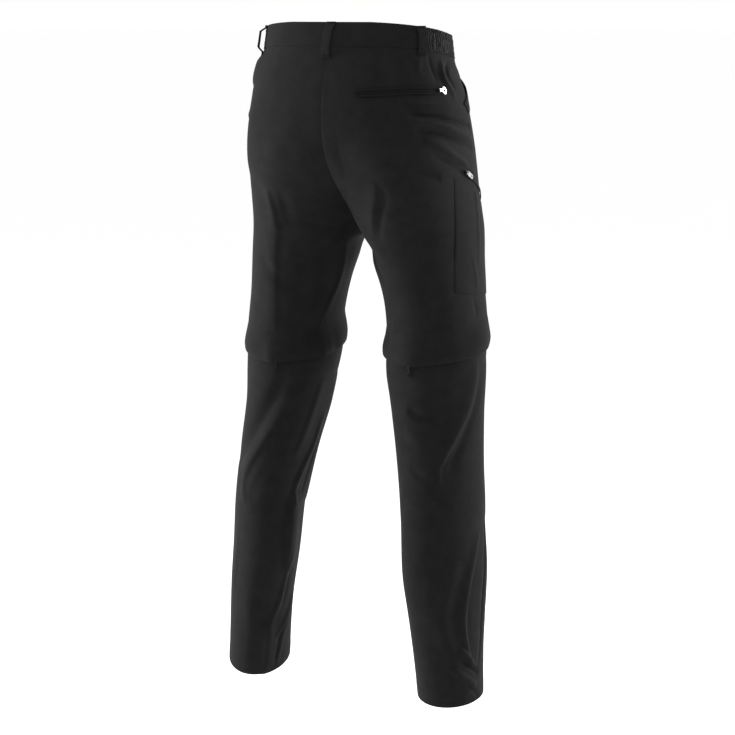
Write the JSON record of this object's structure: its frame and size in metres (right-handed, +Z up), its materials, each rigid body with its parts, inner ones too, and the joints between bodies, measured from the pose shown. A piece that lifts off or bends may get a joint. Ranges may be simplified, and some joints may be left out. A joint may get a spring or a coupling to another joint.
{
  "type": "convertible zip-off trousers",
  "caption": "Hollow worn-form hiking trousers with knee zip-off legs under storm flaps, elastic-sided waistband, belt loops and zipped pockets.",
  "frame": {"origin": "the waist: middle of the body at the height of the waistband's top edge at centre back", "axes": "+Z up out of the waist, the front faces -Y, the wearer's right is -X"},
  "size_m": [0.4278, 0.2705, 1.0077],
  "materials": {
    "cloth": "matt near-black woven stretch cloth with a faint twill",
    "trim": "same cloth as the body, pressed into narrow welts",
    "zip_tape": "black woven tape with closed black teeth",
    "bright_metal": "polished plated pull",
    "dark_metal": "black painted slider and pull",
    "button": "black sewn-on button"
  },
  "bodies": {
    "trousers": {"waistband_back": "cloth", "waistband_front_left": "cloth", "waistband_front_right": "cloth", "waistband_elastic_left": "cloth", "waistband_elastic_right": "cloth", "belt_loop_centre_back": "cloth", "belt_loop_back_left": "cloth", "belt_loop_back_right": "cloth", "belt_loop_front_left": "cloth", "belt_loop_front_right": "cloth", "thigh_back_left": "cloth", "thigh_back_right": "cloth", "thigh_front_left": "cloth", "thigh_front_right": "cloth", "lower_leg_back_left": "cloth", "lower_leg_back_right": "cloth", "lower_leg_front_left": "cloth", "lower_leg_front_right": "cloth", "knee_flap_left": "cloth", "knee_flap_right": "cloth", "hand_pocket_edge_left": "cloth", "hand_pocket_edge_right": "cloth", "fly_flap": "cloth", "thigh_pocket": "cloth", "back_pocket_welt_upper": "trim", "back_pocket_welt_lower": "trim", "back_pocket_zip": "zip_tape", "thigh_pocket_zip": "zip_tape", "knee_zip_left": "zip_tape", "knee_zip_right": "zip_tape", "back_pocket_slider": "dark_metal", "thigh_pocket_slider": "dark_metal", "knee_slider_left": "dark_metal", "knee_slider_right": "dark_metal", "waist_button": "button"},
    "back_pocket_pull_tab": {"back_pocket_pull": "bright_metal"},
    "thigh_pocket_pull_tab": {"thigh_pocket_pull": "bright_metal"},
    "knee_pull_left_tab": {"knee_pull_left": "dark_metal"},
    "knee_pull_right_tab": {"knee_pull_right": "dark_metal"}
  },
  "joints": [
    {"name": "back_pocket_pull_swing", "type": "hinge", "parent": "trousers", "child": "back_pocket_pull_tab", "pos_m": [-0.15195, 0.06439, -0.09301], "axis": [-0.2008, 0.1473, -0.9685], "range_deg": [0, 150]},
    {"name": "thigh_pocket_pull_swing", "type": "hinge", "parent": "trousers", "child": "thigh_pocket_pull_tab", "pos_m": [-0.17458, 0.01424, -0.21134], "axis": [-0.0023, 0.4123, -0.9111], "range_deg": [0, 150]},
    {"name": "knee_pull_right_swing", "type": "hinge", "parent": "trousers", "child": "knee_pull_right_tab", "pos_m": [-0.11017, 0.07567, -0.47767], "axis": [0.9936, -0.1128, 0], "range_deg": [0, 8]},
    {"name": "knee_pull_left_swing", "type": "hinge", "parent": "trousers", "child": "knee_pull_left_tab", "pos_m": [0.10948, 0.07559, -0.49254], "axis": [0.9928, 0.1197, 0], "range_deg": [0, 8]}
  ]
}
